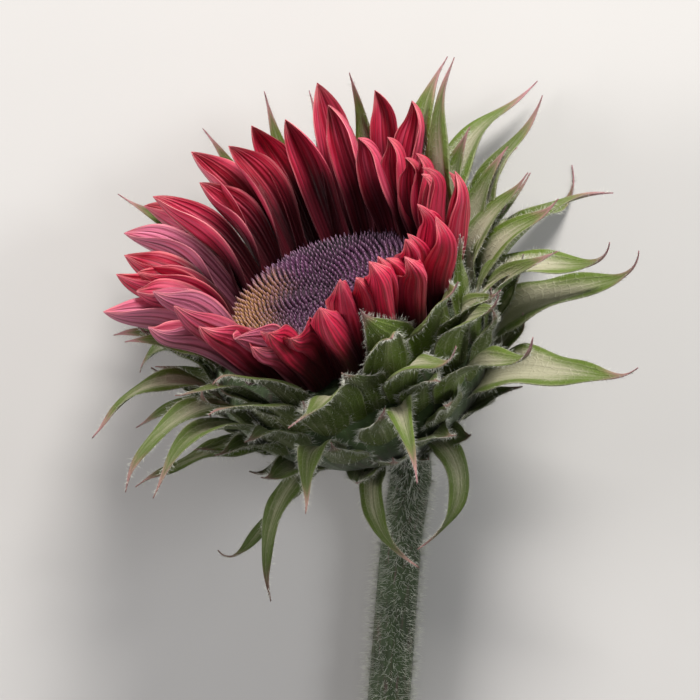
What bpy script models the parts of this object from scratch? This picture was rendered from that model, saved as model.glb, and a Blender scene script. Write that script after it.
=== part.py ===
"""Red sunflower head on a cut stem, laid on a table: one closed solid for each piece.

Metres, +Z up, table at z = 0. The head's own frame has its origin at the middle of the
petal ring, Z out of the flower's face and X along the table.
"""
import math

import bpy
from mathutils import Euler, Matrix, Vector

MM = 0.001

# ---------------------------------------------------------------- placing
HEAD_CENTRE = Vector((-5.9, 25.4, 39.2)) * MM
HEAD_TILT = 57.0          # degrees between the flower's face and straight up
HEAD_TURN = 20.5          # degrees the face swings to the left of the table's +Y
TABLE_SOFTNESS = 1.2 * MM  # how gently a leaf pressed on the table bends to lie on it

# ---------------------------------------------------------------- receptacle
BOWL_PROFILE = ((6.0, -39.0), (10.5, -36.5), (18.5, -32.5), (27.0, -26.5),
                (33.0, -18.5), (35.5, -10.0), (34.5, -3.5), (31.0, 0.0))
BOWL_TOP = ((30.2, 1.1), (28.6, 1.5), (16.0, 1.5))  # rim and the floor under the florets
NECK_SHIFT = 5.0          # mm that the neck sits off the bowl's middle
BOWL_RINGS = 12
BOWL_SIDES = 28

# ---------------------------------------------------------------- floret disc
DISC_PROFILE = ((26.4, 1.9), (27.4, 4.5), (26.2, 8.2), (21.5, 9.6), (14.0, 8.6), (7.0, 7.6))
DISC_SIDES = 28
DISC_MIDDLE = 7.2         # mm, height of the hollow in the middle of the disc

# ---------------------------------------------------------------- stem
STEM_ROUTE = ((10.1, -4.2, 17.5), (11.6, -12.0, 12.6), (10.8, -19.0, 9.2),
              (9.0, -34.0, 6.1), (6.1, -69.0, 5.6), (4.4, -94.0, 5.6))
STEM_RADII = (5.7, 5.4, 5.3, 5.3, 5.5, 5.6)
STEM_STEPS = 4            # rings between two points of the route
STEM_SIDES = 16

# ---------------------------------------------------------------- leaves of every kind
BLADE_RINGS = 9
GAP = 0.35                # mm kept between a leaf's foot and what carries it

PETAL_THICKNESS = 0.8
PETAL_CUP = 88.0          # degrees that a petal is rolled in across its middle
PETAL_ROWS = {            # row: foot radius, foot height, first lean, half width
    "inner": (28.4, 2.3, 10.0, 4.9),
    "outer": (30.6, 1.9, 20.0, 5.3),
}
# row, azimuth, length, lean half way, lean at the tip, sway to the side
PETALS = (
    ("outer", 35, 40, 45, 8, 5), ("outer", 49, 41, 46, 10, 3),
    ("outer", 70, 43, 46, 15, 2), ("outer", 91, 39, 46, 15, 8), ("outer", 112, 39, 47, 20, 5),
    ("outer", 132, 36, 53, 36, 14), ("outer", 146, 36, 52, 30, 9), ("outer", 160, 35, 46, 28, 5),
    ("outer", 174, 36, 47, 30, -2), ("outer", 191, 41, 54, 42, 3), ("outer", 224, 37, 56, 6, 5),
    ("outer", 247, 37, 52, 22, 3), ("outer", 267, 38, 49, 20, -4), ("outer", 288, 41, 40, 0, -8),
    ("outer", 321, 38, 42, 2, -1), ("outer", 338, 41, 34, 14, -2),
    ("inner", 9, 35, 28, -2, 0), ("inner", 27, 36, 30, -14, 8), ("inner", 41, 37, 24, -26, 3),
    ("inner", 56, 42, 34, -8, 9), ("inner", 76, 40, 32, -8, 12), ("inner", 101, 37, 38, 17, 8),
    ("inner", 117, 33, 41, 20, 11), ("inner", 132, 38, 45, 35, 14), ("inner", 170, 33, 47, 35, 8),
    ("inner", 200, 39, 44, 20, 0), ("inner", 214, 39, 58, 15, -1), ("inner", 234, 34, 52, 40, 5),
    ("inner", 251, 33, 54, 44, 10), ("inner", 275, 38, 38, 16, 1), ("inner", 294, 37, 40, 12, -5),
    ("inner", 310, 36, 40, 6, -9), ("inner", 327, 38, 35, -3, -3), ("inner", 350, 40, 30, -2, -9),
)

BRACT_THICKNESS = 0.9
BRACT_RISE = 13.0         # degrees at which a bract's foot leaves the bowl
BRACT_FOOT_CUP = 8.0      # degrees of curl across the foot, which follows the bowl
BRACT_CUP = 50.0          # and across the free blade
# azimuth, level on the bowl from 0 at the neck to 1 at the rim, length, lean half way,
# lean at the tip, sway to the side, more sway at the tip, half width
BRACTS = (
    (35, 0.90, 52, 25, 50, 4, 10, 4.6), (20, 0.87, 57, 0, 50, 5, 0, 4.6),
    (42, 0.72, 57, 96, 75, -11, -4, 5.4), (12, 0.76, 50, 59, 57, 9, 10, 5.4),
    (26, 0.62, 54, 130, 85, 2, 26, 4.8), (359, 0.70, 48, 51, 118, -3, -8, 5.2),
    (341, 0.86, 46, 134, 60, -6, 4, 4.4), (344, 0.62, 48, 128, 47, -5, 3, 5.0),
    (323, 0.54, 50, 118, 88, -5, 5, 5.2), (303, 0.66, 48, 87, 58, 6, 10, 5.0),
    (306, 0.93, 41, 42, 64, -6, -8, 4.6), (290, 0.34, 36, 165, 200, -5, -62, 4.6),
    (250, 0.30, 40, 108, 149, 20, 30, 4.6), (248, 0.62, 48, 73, 105, -3, 2, 4.8),
    (226, 0.46, 44, 124, 172, 3, 12, 5.0), (212, 0.34, 42, 160, 20, 0, -5, 4.2),
    (200, 0.52, 39, 75, 98, 3, 5, 5.0), (210, 0.78, 49, 100, 120, 6, 2, 4.8),
    (190, 0.77, 44, 77, 123, 8, 13, 5.0), (58, 0.86, 48, 30, 10, 2, 0, 4.8),
    (92, 0.62, 44, 45, 20, 0, 0, 5.2), (124, 0.56, 44, 85, 60, 0, 0, 5.2),
    (164, 0.74, 31, 60, 70, 3, 0, 4.8),
)


# ---------------------------------------------------------------- small helpers
def clear_scene():
    """Remove everything that the file starts with."""
    for thing in list(bpy.data.objects):
        bpy.data.objects.remove(thing, do_unlink=True)


def finish_material(name, colour, roughness):
    """A plain non-metal finish."""
    material = bpy.data.materials.new(name)
    material.use_nodes = True
    shader = material.node_tree.nodes["Principled BSDF"]
    shader.inputs["Base Color"].default_value = (*colour, 1.0)
    shader.inputs["Roughness"].default_value = roughness
    shader.inputs["Metallic"].default_value = 0.0
    return material


def add_solid(name, points, faces, material, parent=None):
    """One object from points in metres, smooth all over."""
    mesh = bpy.data.meshes.new(name)
    mesh.from_pydata([tuple(p) for p in points], [], faces)
    mesh.polygons.foreach_set("use_smooth", [True] * len(mesh.polygons))
    mesh.materials.append(material)
    mesh.update()
    solid = bpy.data.objects.new(name, mesh)
    solid.parent = parent
    bpy.context.scene.collection.objects.link(solid)
    return solid


def smooth_step(x):
    """0 to 1 with a soft start and end."""
    x = min(max(x, 0.0), 1.0)
    return x * x * (3.0 - 2.0 * x)


def through(points, x):
    """The point at x, from 0 to 1, on a smooth curve through the points."""
    last = len(points) - 1
    place = min(max(x, 0.0), 1.0) * last
    i = min(int(place), last - 1)
    f = place - i
    a, b, c, d = (Vector(points[min(max(i + k, 0), last)]) for k in (-1, 0, 1, 2))
    return 0.5 * (2 * b + (c - a) * f + (2 * a - 5 * b + 4 * c - d) * f * f
                  + (3 * b - a - 3 * c + d) * f ** 3)


def rings_to_solid(rings, start, end):
    """Points and faces of a closed loft: equal rings, closed by a fan to each end point."""
    sides = len(rings[0])
    points = [p for ring in rings for p in ring] + [start, end]
    first, last = len(points) - 2, len(points) - 1
    faces = []
    for k in range(len(rings) - 1):
        for j in range(sides):
            a, b = k * sides + j, k * sides + (j + 1) % sides
            faces.append((a, b, b + sides, a + sides))
    top = (len(rings) - 1) * sides
    for j in range(sides):
        nxt = (j + 1) % sides
        faces.append((first, nxt, j))
        faces.append((last, top + j, top + nxt))
    return points, faces


# ---------------------------------------------------------------- blades: petals and bracts
def blade_course(foot, length, leans, sways):
    """Centre points and headings of a blade in the head's frame, growing at azimuth 0."""
    steps = BLADE_RINGS - 1
    fine = 6
    points, headings = [Vector(foot)], []
    here = Vector(foot)
    for k in range(steps * fine + 1):
        t = k / (steps * fine)
        lean = leans[0] * (1 - t) ** 2 + 2 * leans[1] * t * (1 - t) + leans[2] * t * t
        sway = sways[0] * t + sways[1] * t * t
        a, b = math.radians(lean), math.radians(sway)
        along = Vector((math.cos(b) * math.sin(a), math.sin(b), math.cos(b) * math.cos(a)))
        side = Vector((-math.sin(b) * math.sin(a), math.cos(b), -math.sin(b) * math.cos(a)))
        if k % fine == 0:
            headings.append((along, side, along.cross(side)))
            if k:
                points.append(here.copy())
        here = here + along * length / (steps * fine)
    return points, headings


def blade_ring(centre, side, up, half_width, cup, thickness):
    """Eight points round a blade's cross-section, an arc that cups towards up."""
    bend = math.radians(max(cup, 2.0)) / 2.0
    spots = (1.0, 0.5, 0.0, -0.5, -1.0)

    def across(u):
        turn = u * bend
        return (centre + side * (half_width * math.sin(turn) / bend)
                + up * (half_width * (1.0 - math.cos(turn)) / bend))

    upper = [across(u) + up * (thickness * 0.5 * (1 - u * u)) for u in spots]
    lower = [across(u) - up * (thickness * 0.5 * (1 - u * u)) for u in spots[3:0:-1]]
    return upper + lower


def blade(name, foot, length, leans, sways, width_at, cup_at, thickness, material, parent):
    """A leaf-like solid whose width and cup change along its length."""
    points, headings = blade_course(foot, length, leans, sways)
    rings = []
    for k, (centre, (_, side, up)) in enumerate(zip(points[:-1], headings)):
        t = k / (len(points) - 1)
        thick = thickness * (1.0 - 0.55 * t)
        rings.append(blade_ring(centre, side, up, width_at(t), cup_at(t), thick))
    start = points[0] - headings[0][0] * 0.05
    mesh_points, faces = rings_to_solid(rings, start, points[-1])
    return add_solid(name, [p * MM for p in mesh_points], faces, material, parent)


def petal_width(half_width):
    """Narrow claw, widest past the middle, closing to a pointed tip."""
    def width(t):
        return half_width * (0.4 + 0.6 * smooth_step(t / 0.5)) * (1.0 - t ** 2.8) ** 0.85
    return width


def bract_width(half_width):
    """Broad foot that draws out into a long thin tip."""
    def width(t):
        body = (1.0 - t) ** 1.6 * (1.0 + 1.2 * t)
        return max(half_width * body * (0.62 + 0.38 * smooth_step(t / 0.2)), 0.45)
    return width


def add_petals(head, material):
    """Two rows of ray petals standing on the bowl's rim."""
    for number, (row, azimuth, length, middle, tip, sway) in enumerate(PETALS, 1):
        radius, height, lean, half_width = PETAL_ROWS[row]
        petal = blade(f"petal_{number:02d}", (radius, 0.0, height), length, (lean, middle, tip),
                      (sway, 0.0), petal_width(half_width),
                      lambda t: PETAL_CUP * (0.45 + 0.55 * math.sin(math.pi * t)),
                      PETAL_THICKNESS, material, head)
        petal.rotation_euler.z = math.radians(azimuth)


def bowl_lean(level):
    """Degrees that the bowl's wall leans out from the head's axis at a level."""
    step = through(BOWL_PROFILE, level + 0.02) - through(BOWL_PROFILE, level - 0.02)
    return math.degrees(math.atan2(step.x, step.y))


def neck_shift(height):
    """Millimetres along the head's X that the bowl is pushed over at a height."""
    return NECK_SHIFT * max(height / BOWL_PROFILE[0][1], 0.0) ** 3


def add_bracts(head, material):
    """The green bracts that leave the bowl's wall at several levels."""
    offset = BRACT_THICKNESS / 2 + GAP
    for number, row in enumerate(BRACTS, 1):
        azimuth, level, length, middle, tip, sway, more_sway, half_width = row
        radius, height = through([Vector((*p, 0.0)) for p in BOWL_PROFILE], level).xy
        wall = bowl_lean(level)
        out = math.radians(90.0 - wall)
        foot = (radius + offset * math.sin(out), 0.0, height - offset * math.cos(out))
        rise = max(wall, 0.0) + BRACT_RISE
        bract = blade(f"bract_{number:02d}", foot, length, (rise, middle, tip),
                      (sway, more_sway), bract_width(half_width),
                      lambda t: BRACT_FOOT_CUP + (BRACT_CUP - BRACT_FOOT_CUP) * smooth_step(t * 2),
                      BRACT_THICKNESS, material, head)
        bract.rotation_euler.z = math.radians(azimuth)
        bract.location.x = neck_shift(height) * MM
        press_on_table(bract)


def press_on_table(solid):
    """Bend whatever would reach under the table so that it lies on top of it."""
    place = head_matrix() @ solid.matrix_basis
    back = place.inverted()
    for vertex in solid.data.vertices:
        world = place @ vertex.co
        z = world.z / TABLE_SOFTNESS
        world.z = TABLE_SOFTNESS * (math.log1p(math.exp(-abs(z))) + max(z, 0.0))
        vertex.co = back @ world


# ---------------------------------------------------------------- the other pieces
def head_matrix():
    """The head frame's place on the table."""
    tilt = Euler((math.radians(-HEAD_TILT), 0.0, math.radians(HEAD_TURN)), "XYZ")
    return Matrix.Translation(HEAD_CENTRE) @ tilt.to_matrix().to_4x4()


def add_receptacle(head, material):
    """The bowl that carries petals, bracts and florets, turned about the head's axis."""
    wall = [through([Vector((*p, 0.0)) for p in BOWL_PROFILE], k / BOWL_RINGS)
            for k in range(BOWL_RINGS + 1)]
    profile = [(p.x, p.y) for p in wall] + list(BOWL_TOP)
    rings = [circle(Vector((neck_shift(height), 0.0, height)), radius, BOWL_SIDES)
             for radius, height in profile]
    start = Vector((NECK_SHIFT, 0.0, BOWL_PROFILE[0][1]))
    points, faces = rings_to_solid(rings, start, Vector((0.0, 0.0, BOWL_TOP[-1][1])))
    add_solid("receptacle", [p * MM for p in points], faces, material, head)


def circle(centre, radius, sides, across=Vector((1, 0, 0)), up=Vector((0, 1, 0))):
    """Points of a ring round a centre."""
    turns = [2 * math.pi * k / sides for k in range(sides)]
    return [centre + across * (radius * math.cos(a)) + up * (radius * math.sin(a)) for a in turns]


def add_disc(head, material):
    """The mass of small florets, a shallow dish with a raised edge."""
    rings = [circle(Vector((0.0, 0.0, h)), r, DISC_SIDES) for r, h in DISC_PROFILE]
    start = Vector((0.0, 0.0, DISC_PROFILE[0][1]))
    points, faces = rings_to_solid(rings, start, Vector((0.0, 0.0, DISC_MIDDLE)))
    add_solid("floret_disc", [p * MM for p in points], faces, material, head)


def add_stem(material):
    """The stem, bent at the neck and lying along the table to its cut end."""
    steps = STEM_STEPS * (len(STEM_ROUTE) - 1)
    centres = [through(STEM_ROUTE, k / steps) for k in range(steps + 1)]
    radii = [through([Vector((r, 0.0, 0.0)) for r in STEM_RADII], k / steps).x
             for k in range(steps + 1)]
    face = -(head_matrix().to_3x3() @ Vector((0.0, 0.0, 1.0)))
    rings = []
    for k, (centre, radius) in enumerate(zip(centres, radii)):
        ahead = centres[min(k + 1, steps)] - centres[max(k - 1, 0)]
        ahead = face if k == 0 else ahead.normalized()
        across = ahead.cross(Vector((0.0, 0.0, 1.0))).normalized()
        rings.append(circle(centre, radius, STEM_SIDES, across, ahead.cross(across)))
    points, faces = rings_to_solid(rings, centres[0], centres[-1])
    add_solid("stem", [p * MM for p in points], faces, material)


def main():
    clear_scene()
    red = finish_material("petal_red", (0.33, 0.008, 0.02), 0.5)
    green = finish_material("bract_green", (0.16, 0.24, 0.05), 0.6)
    dark_green = finish_material("stem_green", (0.07, 0.11, 0.03), 0.65)
    purple = finish_material("floret_purple", (0.09, 0.03, 0.07), 0.7)
    head = bpy.data.objects.new("flower_head", None)
    bpy.context.scene.collection.objects.link(head)
    head.matrix_world = head_matrix()
    add_receptacle(head, green)
    add_disc(head, purple)
    add_stem(dark_green)
    add_petals(head, red)
    add_bracts(head, green)


main()
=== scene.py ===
"""Looks of a half-open red sunflower head that lies on a table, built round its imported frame."""
import math

import bpy
import numpy as np
from mathutils import Euler, Matrix, Vector


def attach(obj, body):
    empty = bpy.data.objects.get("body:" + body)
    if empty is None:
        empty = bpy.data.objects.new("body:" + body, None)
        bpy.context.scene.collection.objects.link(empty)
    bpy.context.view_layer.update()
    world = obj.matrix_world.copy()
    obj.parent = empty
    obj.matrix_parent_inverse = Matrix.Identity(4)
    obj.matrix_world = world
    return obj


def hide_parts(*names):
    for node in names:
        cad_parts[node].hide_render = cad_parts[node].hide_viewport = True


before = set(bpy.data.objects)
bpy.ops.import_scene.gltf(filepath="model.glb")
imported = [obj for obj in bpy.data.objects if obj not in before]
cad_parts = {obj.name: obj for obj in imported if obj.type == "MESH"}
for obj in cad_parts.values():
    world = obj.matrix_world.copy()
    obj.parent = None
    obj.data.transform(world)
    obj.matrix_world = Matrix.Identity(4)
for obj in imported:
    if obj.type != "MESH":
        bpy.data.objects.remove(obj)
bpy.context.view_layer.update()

bl_info = {
    "name": "Red Sunflower Head",
    "version": (1, 0, 0),
    "blender": (4, 5, 0),
    "location": "3D View > Sidebar > Sunflower",
    "description": "Petals, bracts, florets, stem and hairs of a half-open red sunflower",
    "category": "Object",
}

MM = 0.001
SEED = 34
NEAR_SIDE = (330.0, 62.0)    # middle and width in degrees of azimuth
RIGHT_SIDE = (352.0, 30.0)
SHADED_SIDE = (230.0, 42.0)
PETAL_THICKNESS = 0.40       # mm at the foot
BRACT_THICKNESS = 0.62
BLADE_TAPER = 0.5            # share of the thickness lost by the tip
STEM_HAIR_RADIUS = 0.055     # mm
BRACT_HAIR_RADIUS = 0.042
FLORET_SCALE_RADIUS = 0.16
SCALE_COUNT = 58
HAIRS_PER_STEP = 2
CUT_RINGS = 8

# ---------------------------------------------------------------- sizes, mm and degrees
HEAD_CENTRE = np.array((-5.9, 25.4, 39.2))
HEAD_TILT = 57.0
HEAD_TURN = 20.5
TABLE_SOFTNESS = 1.2

BOWL_PROFILE = ((6.0, -39.0), (10.5, -36.5), (18.5, -32.5), (27.0, -26.5),
                (33.0, -18.5), (35.5, -10.0), (34.5, -3.5), (31.0, 0.0))
NECK_SHIFT = 5.0
DISC_PROFILE = ((27.4, 3.0), (26.4, 6.2), (21.5, 7.6), (14.0, 6.6), (7.0, 5.6), (0.0, 5.2))
STEM_ROUTE = ((10.1, -4.2, 17.5), (11.6, -12.0, 12.6), (10.8, -19.0, 9.2),
              (9.0, -34.0, 6.1), (6.1, -69.0, 5.6), (4.4, -94.0, 5.6))
STEM_RADII = (5.7, 5.4, 5.3, 5.3, 5.5, 5.6)

# row: foot radius, foot height, first lean, half width
PETAL_ROWS = {"inner": (28.4, 2.3, 10.0, 9.4), "outer": (30.6, 1.9, 20.0, 9.8)}
# row, azimuth, length, lean half way, lean at the tip, sway, paleness of the skin, partly painted
# sheen
PETALS = (
    ("outer", 35, 40, 45, 8, 5, 0.25), ("outer", 49, 41, 46, 10, 3, 0.3),
    ("outer", 70, 43, 46, 15, 2, 0.35), ("outer", 91, 39, 46, 15, 8, 0.2),
    ("outer", 112, 39, 47, 20, 5, 0.3), ("outer", 132, 36, 53, 36, 14, 0.3),
    ("outer", 146, 36, 52, 30, 9, 0.85), ("outer", 160, 35, 46, 28, 5, 0.1),
    ("outer", 174, 36, 47, 30, -2, 0.2), ("outer", 191, 41, 54, 42, 3, 0.75),
    ("outer", 224, 37, 56, 6, 5, 0.25), ("outer", 247, 37, 52, 22, 3, 0.12),
    ("outer", 267, 38, 49, 20, -4, 0.1), ("outer", 288, 41, 40, 0, -8, 0.1),
    ("outer", 321, 38, 42, 2, -1, 0.15), ("outer", 338, 41, 34, 14, -2, 0.2),
    ("inner", 9, 35, 28, -2, 0, 0.2), ("inner", 27, 36, 30, -14, 8, 0.2),
    ("inner", 41, 37, 24, -26, 3, 0.3), ("inner", 56, 42, 34, -8, 9, 0.3),
    ("inner", 76, 40, 32, -8, 12, 0.3), ("inner", 101, 37, 38, 17, 8, 0.25),
    ("inner", 117, 33, 41, 20, 11, 0.3), ("inner", 132, 38, 45, 35, 14, 0.25),
    ("inner", 170, 33, 47, 35, 8, 0.15), ("inner", 200, 39, 44, 20, 0, 0.75),
    ("inner", 214, 39, 58, 15, -1, 0.35), ("inner", 234, 34, 52, 40, 5, 0.5),
    ("inner", 251, 33, 54, 44, 10, 0.2), ("inner", 275, 38, 38, 16, 1, 0.2),
    ("inner", 294, 37, 40, 12, -5, 0.15), ("inner", 310, 36, 40, 6, -9, 0.2),
    ("inner", 327, 38, 35, -3, -3, 0.15), ("inner", 350, 40, 30, -2, -9, 0.2),
)
# more petals, tucked between those of the frame
TUCKED_PETALS = (
    ("inner", 284, 34, 44, 0, -8, 0.2), ("inner", 302, 33, 44, -6, -10, 0.1),
    ("outer", 304, 37, 44, 4, -8, 0.2), ("inner", 318, 33, 40, -10, -6, 0.15),
    ("inner", 337, 34, 36, -14, -8, 0.1), ("outer", 352, 36, 38, 0, -6, 0.15),
    ("inner", 0, 33, 34, -14, -4, 0.2), ("inner", 18, 33, 28, -14, 0, 0.2),
    ("outer", 240, 34, 54, 30, 4, 0.3), ("inner", 262, 33, 50, 34, 4, 0.1),
    ("outer", 208, 38, 52, 34, 2, 0.55), ("inner", 185, 36, 48, 34, 4, 0.4),
)

# azimuth, level on the bowl, length, lean half way, lean at the tip, sway, more sway at the
# tip, half width, inward hook of the tip: first the large bracts of the frame, then the
# small ones between them
BRACTS = (
    (35, 0.90, 53, 25, 52, 3, 2, 8.4, -6), (20, 0.87, 57, 0, 52, 4, 0, 8.6, 10),
    (42, 0.72, 60, 96, 75, -12, -4, 8.2, 8), (12, 0.76, 53, 59, 62, 9, 10, 8.8, 18),
    (26, 0.62, 56, 140, 104, 2, 22, 7.0, 80), (359, 0.70, 50, 51, 122, -3, -8, 8.6, 22),
    (341, 0.86, 47, 140, 84, -6, 4, 7.4, 62), (344, 0.63, 50, 126, 68, -5, 5, 8.4, 60),
    (323, 0.54, 50, 118, 96, -5, 5, 8.4, 50), (303, 0.66, 45, 87, 72, 6, 10, 7.8, 50),
    (306, 0.93, 41, 42, 72, -6, -8, 8.6, 34), (291, 0.42, 39, 158, 206, -34, -58, 3.4, 0),
    (250, 0.30, 40, 110, 150, 14, 32, 3.5, 20), (248, 0.62, 42, 75, 122, -2, 6, 4.2, 16),
    (226, 0.46, 45, 124, 172, 6, -6, 3.8, 0), (212, 0.34, 42, 160, 44, 0, -5, 3.0, 30),
    (200, 0.52, 40, 75, 98, 3, 5, 4.8, 14), (210, 0.78, 49, 100, 120, 6, 2, 4.8, 0),
    (190, 0.77, 44, 77, 123, 8, 13, 4.8, 10), (58, 0.86, 50, 30, 2, 1, -2, 5.2, 0),
    (92, 0.62, 44, 45, 20, 0, 0, 6.0, 0), (124, 0.56, 44, 85, 60, 0, 0, 6.0, 20),
    (164, 0.74, 31, 60, 70, 3, 0, 6.6, 0),
)
SMALL_BRACTS = (
    (24, 0.70, 42, 30, 132, 14, 4, 6.6, 30), (5, 0.83, 34, 56, 80, 2, 1, 5.6, 24),
    (309, 0.78, 42, 62, 62, -1, -1, 7.4, 20), (283, 0.80, 46, 82, 64, 10, 14, 5.4, 40),
    (280, 0.90, 44, 56, 50, 1, -1, 6.2, 0), (288, 0.93, 39, 36, 24, -50, 34, 7.4, 0),
    (328, 0.86, 34, 15, 15, -6, -6, 5.2, 0), (279, 0.70, 42, 88, 142, -24, 0, 4.2, 6),
    (260, 0.79, 48, 72, 77, -12, -15, 5.6, 0), (220, 0.68, 52, 72, 107, 1, 3, 5.8, 0),
    (223, 0.84, 40, 57, 56, 2, 3, 5.0, 0), (237, 0.76, 46, 60, 64, -2, -3, 5.2, 0),
    (240, 0.90, 47, 55, 54, -4, -4, 5.0, -16), (166, 0.84, 27, 74, 165, -3, 0, 6.8, 0),
    (174, 0.93, 27, 72, 79, -1, -1, 5.8, 0), (77, 0.84, 45, 50, 6, -4, -2, 4.4, 0),
    (88, 0.84, 48, 50, 8, 1, 0, 4.4, 0), (105, 0.84, 46, 50, 14, 2, 4, 4.4, 0),
    (129, 0.84, 46, 52, 34, 4, 8, 4.6, -16), (178, 0.60, 28, 78, 100, 0, 8, 6.4, 0),
    (108, 0.44, 36, 78, 66, 0, 0, 5.4, 10), (75, 0.46, 38, 84, 78, 0, 6, 5.4, 20),
    (146, 0.42, 34, 92, 84, 0, 0, 5.4, 10), (55, 0.46, 36, 100, 95, 0, -6, 5.4, 20),
    (29, 0.84, 36, 38, 64, 2, 0, 7.6, 10), (14, 0.84, 36, 40, 72, 0, 4, 8.0, 16),
    (1, 0.86, 35, 46, 78, 0, 0, 8.0, 20), (350, 0.80, 38, 58, 84, -2, 4, 8.0, 24),
    (333, 0.78, 38, 64, 84, -4, 0, 7.6, 26), (316, 0.86, 32, 56, 76, -3, 0, 6.8, 20),
)


# ---------------------------------------------------------------- settings a user would change
class SunflowerLooks(bpy.types.PropertyGroup):
    """Colours and sizes of the flower's finish."""

    petal_red: bpy.props.FloatVectorProperty(
        name="Petal red", description="Velvety colour inside the petals",
        subtype="COLOR", size=3, min=0.0, max=1.0, default=(0.24, 0.002, 0.013))
    petal_pink: bpy.props.FloatVectorProperty(
        name="Petal crimson", description="Brighter crimson pink that clouds the red",
        subtype="COLOR", size=3, min=0.0, max=1.0, default=(0.60, 0.013, 0.060))
    # pale pink: the petals' own blush, also painted sheen on the petals given a high paleness
    petal_blush_and_painted_sheen: bpy.props.FloatVectorProperty(
        name="Petal blush", description="Pale pink of the blushed petals",
        subtype="COLOR", size=3, min=0.0, max=1.0, default=(0.62, 0.19, 0.30))
    petal_rim: bpy.props.FloatVectorProperty(
        name="Petal rim", description="Peach of petal margins and tips",
        subtype="COLOR", size=3, min=0.0, max=1.0, default=(0.84, 0.27, 0.27))
    # the petals' own dark burgundy at the foot, deepened as painted shade inside the cup
    petal_foot_dark_and_painted_shade: bpy.props.FloatVectorProperty(
        name="Petal foot", description="Dark burgundy at the foot of each petal",
        subtype="COLOR", size=3, min=0.0, max=1.0, default=(0.014, 0.001, 0.003))
    bract_green: bpy.props.FloatVectorProperty(
        name="Bract green", description="Upper side of the bracts",
        subtype="COLOR", size=3, min=0.0, max=1.0, default=(0.082, 0.132, 0.007))
    bract_pale: bpy.props.FloatVectorProperty(
        name="Bract pale green", description="Back, margin and veins of the bracts",
        subtype="COLOR", size=3, min=0.0, max=1.0, default=(0.33, 0.315, 0.215))
    bract_tip: bpy.props.FloatVectorProperty(
        name="Bract tip", description="Mauve of the drawn-out tips",
        subtype="COLOR", size=3, min=0.0, max=1.0, default=(0.50, 0.20, 0.26))
    stem_green: bpy.props.FloatVectorProperty(
        name="Stem green", description="Skin of the stem",
        subtype="COLOR", size=3, min=0.0, max=1.0, default=(0.015, 0.027, 0.007))
    floret_purple: bpy.props.FloatVectorProperty(
        name="Floret purple", description="Buds in the middle of the disc",
        subtype="COLOR", size=3, min=0.0, max=1.0, default=(0.044, 0.010, 0.036))
    floret_tan: bpy.props.FloatVectorProperty(
        name="Floret tan", description="Scales towards the disc's left edge",
        subtype="COLOR", size=3, min=0.0, max=1.0, default=(0.46, 0.24, 0.10))
    hair_white: bpy.props.FloatVectorProperty(
        name="Hair", description="Fine hairs on stem and bracts",
        subtype="COLOR", size=3, min=0.0, max=1.0, default=(0.66, 0.67, 0.58))
    stem_hair: bpy.props.FloatProperty(
        name="Stem hair length", description="Typical length of a hair on the stem",
        subtype="DISTANCE", unit="LENGTH", min=0.0, default=0.0032)
    bract_hair: bpy.props.FloatProperty(
        name="Bract hair length", description="Typical length of a hair on a bract",
        subtype="DISTANCE", unit="LENGTH", min=0.0, default=0.0023)
    stem_hairs: bpy.props.IntProperty(
        name="Stem hairs", description="How many hairs the stem carries", min=0, default=6500)
    florets: bpy.props.IntProperty(
        name="Florets", description="How many disc florets there are", min=0, default=1420)
    table_tone: bpy.props.FloatVectorProperty(
        name="Table tone", description="Colour of the plain floor",
        subtype="COLOR", size=3, min=0.0, max=1.0, default=(0.46, 0.45, 0.435))


def looks():
    """The settings in the open scene."""
    return bpy.context.scene.sunflower_looks


# ---------------------------------------------------------------- curves and placing
def smooth_step(x):
    """0 to 1 with a soft start and end, for a number or an array."""
    x = np.clip(x, 0.0, 1.0)
    return x * x * (3.0 - 2.0 * x)


def through(points, x):
    """Points at x, from 0 to 1, on a smooth curve through the given points."""
    points = np.asarray(points, float)
    last = len(points) - 1
    place = np.clip(np.atleast_1d(x), 0.0, 1.0) * last
    i = np.minimum(place.astype(int), last - 1)
    f = (place - i)[:, None]
    a, b, c, d = (points[np.clip(i + k, 0, last)] for k in (-1, 0, 1, 2))
    return 0.5 * (2 * b + (c - a) * f + (2 * a - 5 * b + 4 * c - d) * f ** 2
                  + (3 * b - a - 3 * c + d) * f ** 3)


def head_turns():
    """Rotation of the head frame on the table, as a 3 by 3 array."""
    return np.array(Euler((math.radians(-HEAD_TILT), 0.0, math.radians(HEAD_TURN)),
                          "XYZ").to_matrix())


def neck_shift(height):
    """Millimetres along the head's X that the bowl is pushed over at a height."""
    return NECK_SHIFT * np.maximum(height / BOWL_PROFILE[0][1], 0.0) ** 3


def to_table(points, azimuth=0.0, shift=0.0):
    """Points of a piece grown at azimuth 0 in the head frame, moved to the table, in mm."""
    a = math.radians(azimuth)
    turn = np.array(((math.cos(a), -math.sin(a), 0.0), (math.sin(a), math.cos(a), 0.0),
                     (0.0, 0.0, 1.0)))
    local = points @ turn.T + np.array((shift, 0.0, 0.0))
    return local @ head_turns().T + HEAD_CENTRE


def pressed(points):
    """Points bent so that nothing reaches under the table."""
    out = points.copy()
    z = points[..., 2] / TABLE_SOFTNESS
    out[..., 2] = TABLE_SOFTNESS * (np.log1p(np.exp(-np.abs(z))) + np.maximum(z, 0.0))
    return out


def unit(v):
    """Vectors scaled to length 1."""
    return v / np.maximum(np.linalg.norm(v, axis=-1, keepdims=True), 1e-12)


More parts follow.
